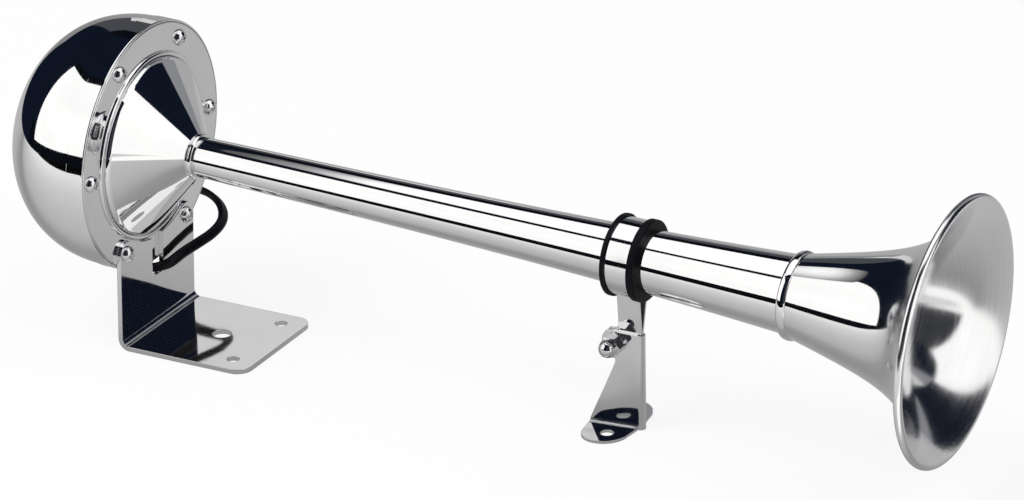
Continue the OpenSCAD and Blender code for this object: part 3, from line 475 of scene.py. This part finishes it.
def lathe(name, profile, segments, materials, node, inside_from=None):
    """A piece spun from (radius, distance along the axis), with a profile that runs round its section.

    From the row inside_from on, its faces have the second material.
    """
    rows = len(profile)
    verts, faces, marks = [], [], []
    for k in range(segments):
        angle = 2 * math.pi * k / segments
        for radius, along in profile:
            verts.append((radius * MM * math.cos(angle), radius * MM * math.sin(angle), along * MM))
    for k in range(segments):
        n = (k + 1) % segments
        for i in range(rows):
            j = (i + 1) % rows
            faces.append((k * rows + i, n * rows + i, n * rows + j, k * rows + j))
            marks.append(1 if inside_from is not None and i >= inside_from else 0)
    piece = new_piece(name, verts, faces, materials)
    for polygon, mark in zip(piece.data.polygons, marks):
        polygon.material_index = mark
    weld(piece, WELD_REACH)
    keep_edges(piece, HARD_FROM)
    piece.matrix_world = ON_AXIS
    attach(piece, "root")
    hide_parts(node)


# Beads and creases of the spun pieces
BEAD_SWELL = 0.45
BEAD_STEPS = 20
# A row of points this far past a bend keeps the shading beyond it straight
HOLD = 0.12


def low_bead(foot, start, length, stop=90):
    """A bead that stands on the radius foot, flatter than a half round."""
    half = length / 2
    half_round = arc((foot, start + half), half, -90, stop, BEAD_STEPS)
    return [(foot + (radius - foot) * BEAD_SWELL, along) for radius, along in half_round]


# Rear cover
COVER_R = 52.9
BAND_L = 8.2
DOME_DEPTH = 46.9
DOME_POWER = 2.23
COVER_WALL = 0.9
COVER_LIP = 0.6
COVER_EDGE = -0.2
CREASE = 0.3


def dome(radius, depth, steps):
    """From the band to the pole, the same curve as the solid."""
    points = []
    for i in range(steps + 1):
        angle = math.radians(90 * i / steps)
        reach = 0 if i == steps else radius * math.cos(angle) ** (2 / DOME_POWER)
        points.append((reach, -BAND_L - depth * math.sin(angle) ** (2 / DOME_POWER)))
    return points


def make_cover():
    inner = COVER_R - COVER_WALL
    lip_end = COVER_EDGE - COVER_LIP
    band_end = CREASE - BAND_L
    outside = arc((COVER_R - COVER_LIP, lip_end), COVER_LIP, 90, 0, 8)
    outside += [(COVER_R, lip_end - HOLD), (COVER_R, band_end + HOLD), (COVER_R, band_end)]
    outside += dome(COVER_R - CREASE, DOME_DEPTH, 110)
    inside = dome(inner - CREASE, DOME_DEPTH - COVER_WALL, 60)[::-1]
    inside += [(inner, band_end), (inner, COVER_EDGE)]
    lathe("rear_cover_drawn", outside + inside, segments=224, materials=[polished], node="rear_cover")


# Flange and cone
FLANGE_R = 51.8
FLANGE_T = 1.2
FLANGE_EDGE = 0.45
BEAD_R = 38.9
BEAD_SECTION = 1.2
BEAD_TO_WALL = 0.1
CONE_H = 21.9
CONE_SLOPE = 34.9
CONE_FOOT = 0.6
CONE_WALL = 0.9
SHOULDER = 3.0
COLLAR_L = 2.6
COLLAR_BACK = 0.7
TUBE_R = 8.4
FIT_GAP = 0.05
HOLLOW_R = 37.0
HOLLOW_STEP = 0.4


def make_cone():
    neck = TUBE_R + CONE_WALL
    wall_r = BEAD_R - BEAD_SECTION - BEAD_TO_WALL
    shoulder = arc((wall_r - SHOULDER, CONE_FOOT), SHOULDER, 0, 90 - CONE_SLOPE, 14)
    start = shoulder[-1]
    cone = straight(start, (neck, CONE_H), 40)
    cone[0] = (start[0] - HOLD, start[1] + HOLD * math.tan(math.radians(CONE_SLOPE)))
    profile = [(FLANGE_R, -FLANGE_T)]
    profile += arc((FLANGE_R - FLANGE_EDGE, -FLANGE_EDGE), FLANGE_EDGE, 0, 90, 6)
    profile += [(FLANGE_R - FLANGE_EDGE - HOLD, 0), (BEAD_R + BEAD_SECTION + HOLD, 0)]
    profile += arc((BEAD_R, 0), BEAD_SECTION, 0, 180, 24)
    profile += shoulder + cone + low_bead(neck, CONE_H, COLLAR_L)
    profile += [(TUBE_R + FIT_GAP, CONE_H + COLLAR_L), (TUBE_R + FIT_GAP, CONE_H - COLLAR_BACK)]
    profile += [(HOLLOW_R, -FLANGE_T + HOLLOW_STEP), (HOLLOW_R, -FLANGE_T)]
    lathe("front_cone_spun", profile, segments=224, materials=[polished], node="front_cone")


# Tube
JOINT_AT = 293.0
TUBE_IN_CONE = 0.9
TUBE_IN_BELL = 5
TUBE_FROM = CONE_H - TUBE_IN_CONE
TUBE_TO = JOINT_AT + TUBE_IN_BELL
FLARE_TO = JOINT_AT + 3
TUBE_WALL = 0.8
TUBE_TAPER = 3.0
TUBE_FLARE = 4.8


def tube_at(along):
    """The tube's outer radius."""
    t = max((along - CONE_H) / (FLARE_TO - CONE_H), 0)
    return TUBE_R + TUBE_TAPER * t + TUBE_FLARE * t ** 3


def make_tube():
    steps = 110
    stations = [TUBE_FROM + (TUBE_TO - TUBE_FROM) * i / steps for i in range(steps + 1)]
    outside = [(tube_at(s), s) for s in stations]
    inside = [(tube_at(s) - TUBE_WALL, s) for s in stations[::-2]]
    lathe("trumpet_tube_drawn", outside + inside, segments=192, materials=[polished], node="trumpet_tube")


# Bell
BELL_WALL = 0.8
BELL_L = 67.9
BELL_TAPER = 14.6
BELL_FIT = 0.15
FLARE_RATE = 5.95
JOINT_L = 4.0
JOINT_R = tube_at(TUBE_TO) + BELL_FIT + BELL_WALL
JOINT_BEAD_SINK = 0.2
RIM_R = 52.6
RIM_Z = JOINT_AT + BELL_L
RIM_ROLL = 1.8
ROLL_INNER = RIM_ROLL - BELL_WALL
ROLL_ANGLE = 64
ROLL_END = -150
# The roll's own points start this many degrees past the wall's end
ROLL_PAST_WALL = 8
BELL_END = (RIM_R - ROLL_INNER * math.cos(math.radians(ROLL_ANGLE)),
            RIM_Z + ROLL_INNER * math.sin(math.radians(ROLL_ANGLE)))
# Above 1, the bell's rows lie closer towards the rim
RIM_FINENESS = 1.5


def bell_point(t):
    """The bell's outer wall, from 0 at the joint to 1 at the rolled rim."""
    rise = (math.exp(FLARE_RATE * t) - 1) / (math.exp(FLARE_RATE) - 1)
    radius = JOINT_R + BELL_TAPER * t + (BELL_END[0] - JOINT_R - BELL_TAPER) * rise
    start = JOINT_AT + JOINT_L
    return (radius, start + (BELL_END[1] - start) * t)


def bell_inner_point(t):
    """The outer wall's point moved inwards, square to the wall."""
    back = 0.004
    here = Vector(bell_point(t))
    ahead = (here - Vector(bell_point(t - back))).normalized()
    return tuple(here - Vector((ahead.y, -ahead.x)) * BELL_WALL)


def make_bell():
    steps = 150
    stations = [1 - (1 - i / steps) ** RIM_FINENESS for i in range(steps + 1)]
    roll_start = 180 - ROLL_ANGLE
    outside = [(JOINT_R - BELL_WALL, JOINT_AT)]
    outside += low_bead(JOINT_R - JOINT_BEAD_SINK, JOINT_AT, JOINT_L, stop=80)
    outside += [bell_point(t) for t in stations]
    outside += arc((RIM_R, RIM_Z), ROLL_INNER, roll_start - ROLL_PAST_WALL, ROLL_END, 24)
    outside += arc((RIM_R, RIM_Z), RIM_ROLL, ROLL_END, roll_start, 40)
    inside = [bell_inner_point(t) for t in stations[-2::-1]]
    lathe("bell_spun", outside + inside, segments=256, materials=[bell_steel, spun_steel], node="bell",
          inside_from=len(outside) - 1)


# Screws round the flange
SCREW_RING = 46.0
HEAD_R = 3.5
HEAD_H = 2.7
HEAD_POWER = 2.3
SHANK_R = 1.75
NUT_BACK = 8.8
SHANK_PAST_NUT = 0.8
RECESS_REACH = 2.1
RECESS_HALF = 0.45
RECESS_DEPTH = 1.3
RECESS_SIDE_SOFT = 0.2
RECESS_END_SOFT = 0.5
# Each recess stands at its own angle, as screws end up when they are driven
RECESS_TURN = 1.7
RECESS_TURN_FROM = 20
SCREW_HARD_FROM = 50


def head_top(x, y):
    """Round head with a cross recess whose edges are a little soft."""
    reach = min(math.hypot(x, y) / HEAD_R, 1)
    top = HEAD_H * math.sqrt(1 - reach ** HEAD_POWER)
    narrow, wide = min(abs(x), abs(y)), max(abs(x), abs(y))
    within_sides = eased((RECESS_HALF + RECESS_SIDE_SOFT / 2 - narrow) / RECESS_SIDE_SOFT)
    within_ends = eased((RECESS_REACH - wide) / RECESS_END_SOFT)
    return top - RECESS_DEPTH * within_sides * within_ends


def screw_rows(rings, back):
    """Radius and height of each row, from the head's middle outwards. None leaves the height to head_top."""
    rows = [(HEAD_R * math.sin(math.pi / 2 * i / rings), None) for i in range(1, rings + 1)]
    return rows + [(HEAD_R, 0.0), (SHANK_R, 0.0), (SHANK_R, back)]


def make_screws(name, angles, seat, node):
    """Pan-head screws standing on the given height along the trumpet's axis."""
    sides = 64
    rows = screw_rows(rings=26, back=-(NUT_BACK + SHANK_PAST_NUT + seat))
    verts, faces = [], []
    for degrees in angles:
        first = len(verts)
        place = Matrix.Rotation(math.radians(degrees), 4, "Z") @ Matrix.Translation((SCREW_RING, 0, seat))
        recess_turn = math.radians(degrees * RECESS_TURN + RECESS_TURN_FROM)
        place = place @ Matrix.Rotation(recess_turn, 4, "Z")
        verts.append(place @ Vector((0, 0, head_top(0, 0))))
        for radius, height in rows:
            for k in range(sides):
                turn = 2 * math.pi * k / sides
                x, y = radius * math.cos(turn), radius * math.sin(turn)
                verts.append(place @ Vector((x, y, head_top(x, y) if height is None else height)))
        faces += [(first, first + 1 + k, first + 1 + (k + 1) % sides) for k in range(sides)]
        for i in range(len(rows) - 1):
            row = first + 1 + i * sides
            for k in range(sides):
                n = (k + 1) % sides
                faces.append((row + k, row + sides + k, row + sides + n, row + n))
        faces.append(tuple(range(len(verts) - 1, len(verts) - sides - 1, -1)))
    piece = new_piece(name, [v * MM for v in verts], faces, [screw_steel])
    keep_edges(piece, SCREW_HARD_FROM)
    piece.matrix_world = ON_AXIS
    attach(piece, "root")
    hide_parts(node)


make_cover()
make_cone()
make_tube()
make_bell()
make_screws("flange_screws_round", (-90, 90, -150, 150), 0.0, "flange_screws")
make_screws("bracket_screws_round", (-30, 30), SHEET, "bracket_screws")


# Materials of the nodes that stay
NODE_WELD_REACH = 0.001
NODE_HARD_FROM = 32


def dress_nodes():
    slots = {part["node"]: part["material_slot"] for part in frame["record"]["subparts"]}
    for name, node in frame["nodes"].items():
        node.data.materials.clear()
        node.data.materials.append(SLOT_MATERIALS[slots[name]])
        node.data.polygons.foreach_set("use_smooth", [True] * len(node.data.polygons))
        weld(node, NODE_WELD_REACH)
        keep_edges(node, NODE_HARD_FROM)


dress_nodes()


# Studio
MIDDLE = Vector((0.12, 0.0, 0.08))
NEAR = 3.0
FAR = 3.3
PANEL_HEIGHT = 0.60
BACK_Y = 0.50
FALL_OFF = 0.94


def grey(level, warm=0.0):
    return (level * (1 + warm), level, level * (1 - warm))


def glow(name, colour, strength=1.0):
    """An even card or softbox, with a faint fall-off so that its reflection isn't flat."""
    material, tree = new_material(name)
    low = tuple(c * FALL_OFF for c in colour)
    shade = mottled(tree, noise(tree, own_place(tree), 0.8, detail=1.0), low, colour)
    finish_surface(tree, emission(tree, shade, strength))
    return material


def place_ramp(tree, value, low, high, stops):
    """Colours at given places in metres along one axis, between low and high."""
    shares = [((place - low) / (high - low), colour) for place, colour in stops]
    return ramp(tree, mapped(tree, value, (low, high)), shares)


def fading_card(name, stops, strength):
    """A panel whose light changes along X, with the stops in metres."""
    material, tree = new_material(name)
    shade = place_ramp(tree, split_vector(tree, own_place(tree))[0], -0.5, 0.7, stops)
    finish_surface(tree, emission(tree, shade, strength))
    return material


def as_card(card):
    """Shown only in the metal: neither the camera nor the shadows see it."""
    card.visible_camera = False
    card.visible_diffuse = False
    card.visible_shadow = False
    card.visible_transmission = False


def way(azimuth, elevation):
    """The direction of an azimuth and an elevation in degrees. Azimuth 0 looks to -Y and 90 to +X."""
    a, e = math.radians(azimuth), math.radians(elevation)
    return Vector((math.sin(a) * math.cos(e), -math.cos(a) * math.cos(e), math.sin(e)))


def curved_card(name, azimuths, elevations, reach, material):
    """Part of a sphere round the object, between two azimuths and two elevations."""
    across, up = 24, 12
    verts, faces = [], []
    for j in range(up + 1):
        for i in range(across + 1):
            azimuth = azimuths[0] + (azimuths[1] - azimuths[0]) * i / across
            elevation = elevations[0] + (elevations[1] - elevations[0]) * j / up
            verts.append(MIDDLE + way(azimuth, elevation) * reach)
    for j in range(up):
        for i in range(across):
            a = j * (across + 1) + i
            faces.append((a, a + 1, a + across + 2, a + across + 1))
    as_card(new_piece(name, verts, faces, [material]))


def plain_card(name, corners, material):
    """A flat card with the given corners."""
    as_card(new_piece(name, corners, [tuple(range(len(corners)))], [material], smooth=False))


def screen_card(name, corners, reach, material):
    """A straight-edged screen between four directions, each an azimuth and an elevation."""
    plain_card(name, [MIDDLE + way(*corner) * reach for corner in corners], material)


def back_card(name, across, up, material):
    """An upright card behind the horn, between two places in X and two heights."""
    left, right = across
    low, high = up
    corners = [(left, BACK_Y, low), (right, BACK_Y, low), (right, BACK_Y, high), (left, BACK_Y, high)]
    plain_card(name, corners, material)


white_card = glow("white_card", (1.0, 0.995, 0.98), 1.28)
black_card = glow("black_card", (0.004, 0.005, 0.008))
navy_card = glow("navy_card", (0.006, 0.009, 0.020))
dusk_card = glow("dusk_card", (0.075, 0.078, 0.088))
pale_card = glow("pale_card", (0.76, 0.76, 0.755))
cloudy_card = glow("cloudy_card", (0.045, 0.047, 0.054))
slate_card = glow("slate_card", (0.30, 0.305, 0.32))
panel_light = fading_card("panel_light", [(-0.25, grey(0.1)), (-0.21, grey(0.35)), (-0.175, grey(1.0))], 1.28)
back_light = fading_card("back_light", [
    (-0.46, grey(0.28)), (-0.30, grey(0.37)), (-0.14, grey(0.44)), (0.04, grey(0.46))], 1.0)


def make_cards():
    screen_card("key_screen", [(-70, -0.5), (-22, 4), (-22, 52), (-90, 45)], NEAR, white_card)
    screen_card("key_top", [(-90, 45), (-22, 52), (-22, 57), (-90, 49.5)], NEAR, black_card)
    curved_card("key_foot", (-5, -80), (-9, 6), NEAR, black_card)
    curved_card("left_wall", (-5, -135), (-9, 62), FAR, navy_card)
    curved_card("left_back_low", (-135, -180), (-9, 36), FAR, dusk_card)
    curved_card("left_back_high", (-135, -180), (36, 62), FAR, black_card)
    curved_card("behind_camera", (15, 60), (-9, 46), NEAR, cloudy_card)
    curved_card("right_screen", (60, 112), (-9, 45), NEAR, white_card)
    curved_card("right_wall", (-5, 155), (-9, 62), FAR, navy_card)
    curved_card("right_back", (155, 180), (-9, 62), FAR, slate_card)
    curved_card("high_right", (108, 130), (46, 65), NEAR, slate_card)
    curved_card("high_back", (130, 180), (46, 65), NEAR, pale_card)
    curved_card("zenith", (-180, 180), (62, 90), FAR, black_card)
    panel = [(-0.26, -0.043), (-0.05, -0.19), (0.10, -0.19), (0.50, -0.15), (0.50, 0.24), (-0.06, 0.36),
             (-0.26, 0.24)]
    plain_card("top_panel", [(x, y, PANEL_HEIGHT) for x, y in panel], panel_light)
    back_card("back_low", (-0.70, 0.09), (0.0, 0.225), back_light)
    back_card("back_high_left", (-0.345, -0.105), (0.225, 0.32), pale_card)
    back_card("back_corner", (-0.105, -0.07), (0.28, 0.32), pale_card)
    back_card("back_middle", (-0.105, 0.09), (0.225, 0.28), slate_card)
    back_card("back_high_right", (-0.07, 0.09), (0.28, 0.32), slate_card)


# Floor and world
FLOOR_R = 0.95
FLOOR_SIDES = 96
FLOOR_GREY = (0.86, 0.86, 0.86, 1)
# The camera sees this share of an even white, and the rest of it takes the shadow
FLOOR_OWN_LIGHT = 0.86
# Colour of the painted light laid on the floor where the metal shows it, brighter than white
PAINTED_LIGHT_COLOUR = (1.25, 1.245, 1.22)
WORLD_FILL = 0.62
FRONT_EDGE = -0.42
# Edges of the painted lit strip beside the bell, and FAR_RIGHT, where the painted lit part beyond it starts
LIT_FROM_X = 0.335
LIT_FROM_Y = -0.135
LIT_TO_Y = -0.068
FAR_RIGHT = 0.60


def laid_over(tree, share, under, colour):
    """The colour under, with an even colour over it by the share."""
    node = add(tree, "ShaderNodeMix", data_type="RGBA", inputs={MIX_OVER: (*colour, 1)})
    tree.links.new(share, node.inputs["Factor"])
    tree.links.new(under, node.inputs[MIX_UNDER])
    return node.outputs[MIX_RESULT]


def floor_in_metal(tree):
    """What the metal shows of the floor.

    It is a pale table with painted shade under and behind the horn, a dark front edge, and painted
    light: a lit strip beside the bell and a lit part far beyond it.
    """
    x, y, _ = split_vector(tree, own_place(tree))
    # Painted shade along Y: the floor in the metal grows darker under and behind the horn
    depth = place_ramp(tree, y, -0.5, 0.5, [
        (FRONT_EDGE - 0.004, grey(0.003)), (FRONT_EDGE, grey(0.98, 0.008)), (-0.31, grey(0.92, 0.012)),
        (-0.24, grey(0.84, 0.012)), (-0.13, grey(0.69, 0.01)), (-0.09, grey(0.61)), (-0.06, grey(0.55)),
        (-0.045, grey(0.48)), (-0.03, grey(0.37)), (-0.01, grey(0.33)), (0.02, grey(0.40)),
        (0.06, grey(0.48)), (0.12, grey(0.54)), (0.5, grey(0.50))])
    # Painted light: a lit part far beyond the bell and a lit strip beside it, laid over the painted shade
    beyond = place_ramp(tree, x, -0.5, 0.9, [(FAR_RIGHT - 0.05, grey(0)), (FAR_RIGHT, grey(1.0))])
    beside = place_ramp(tree, x, -0.5, 0.9, [(LIT_FROM_X - 0.002, grey(0)), (LIT_FROM_X, grey(1.0))])
    strip = place_ramp(tree, y, -0.5, 0.5, [
        (LIT_FROM_Y - 0.01, grey(0)), (LIT_FROM_Y, grey(1.0)),
        (LIT_TO_Y, grey(1.0)), (LIT_TO_Y + 0.01, grey(0))])
    lit = combined(tree, "MAXIMUM", combined(tree, "MULTIPLY", beside, strip), beyond)
    return laid_over(tree, lit, depth, PAINTED_LIGHT_COLOUR)


def mirror_or(tree, camera_share):
    """1 for rays that metal or glass throws, and camera_share for the camera's own."""
    path = add(tree, "ShaderNodeLightPath")
    seen = add(tree, "ShaderNodeMath", operation="MULTIPLY", inputs={1: camera_share})
    tree.links.new(path.outputs["Is Camera Ray"], seen.inputs[0])
    thrown = combined(tree, "MAXIMUM", path.outputs["Is Glossy Ray"], path.outputs["Is Transmission Ray"])
    return combined(tree, "MAXIMUM", seen.outputs["Value"], thrown)


def make_floor():
    """White to the camera, a table with painted shade and painted light in the metal, and it keeps the
    shadow.
    """
    rim = arc((MIDDLE.x, MIDDLE.y), FLOOR_R, 0, 360, FLOOR_SIDES)[:-1]
    verts = [(x, y, 0.0) for x, y in [(MIDDLE.x, MIDDLE.y)] + rim]
    faces = [(0, i + 1, (i + 1) % FLOOR_SIDES + 1) for i in range(FLOOR_SIDES)]
    material, tree = new_material("studio_floor")
    seen = add(tree, "ShaderNodeLightPath").outputs["Is Camera Ray"]
    colour = laid_over(tree, seen, floor_in_metal(tree), (1, 1, 1))
    plain = add(tree, "ShaderNodeBsdfDiffuse", inputs={"Color": FLOOR_GREY})
    mix = add(tree, "ShaderNodeMixShader")
    tree.links.new(mirror_or(tree, FLOOR_OWN_LIGHT), mix.inputs["Fac"])
    tree.links.new(plain.outputs["BSDF"], mix.inputs[1])
    tree.links.new(emission(tree, colour, 1.0), mix.inputs[2])
    finish_surface(tree, mix.outputs["Shader"])
    new_piece("studio_floor", verts, faces, [material], smooth=False)


def make_world():
    """White to the camera and in the metal, and a softer fill on everything else."""
    world = bpy.data.worlds.new("studio")
    scene.world = world
    world.use_nodes = True
    tree = world.node_tree
    tree.nodes.clear()
    background = add(tree, "ShaderNodeBackground", inputs={"Color": (1, 1, 1, 1)})
    level = mapped(tree, mirror_or(tree, 1.0), (0, 1), (WORLD_FILL, 1))
    tree.links.new(level, background.inputs["Strength"])
    out = add(tree, "ShaderNodeOutputWorld")
    tree.links.new(background.outputs["Background"], out.inputs["Surface"])


def make_lamp(name, azimuth, elevation, reach, size, power):
    """A square lamp that faces the middle and isn't seen in the metal."""
    data = bpy.data.lights.new(name, "AREA")
    data.shape = "SQUARE"
    data.size = size
    data.energy = power
    lamp = bpy.data.objects.new(name, data)
    lamp.location = MIDDLE + way(azimuth, elevation) * reach
    lamp.rotation_euler = (lamp.location - MIDDLE).to_track_quat("Z", "Y").to_euler()
    lamp.visible_glossy = False
    scene.collection.objects.link(lamp)


make_cards()
make_floor()
make_world()
make_lamp("key_lamp", azimuth=-45, elevation=50, reach=2.2, size=1.2, power=26)
make_lamp("fill_lamp", azimuth=80, elevation=45, reach=2.4, size=1.4, power=12)

scene.view_settings.view_transform = "Standard"
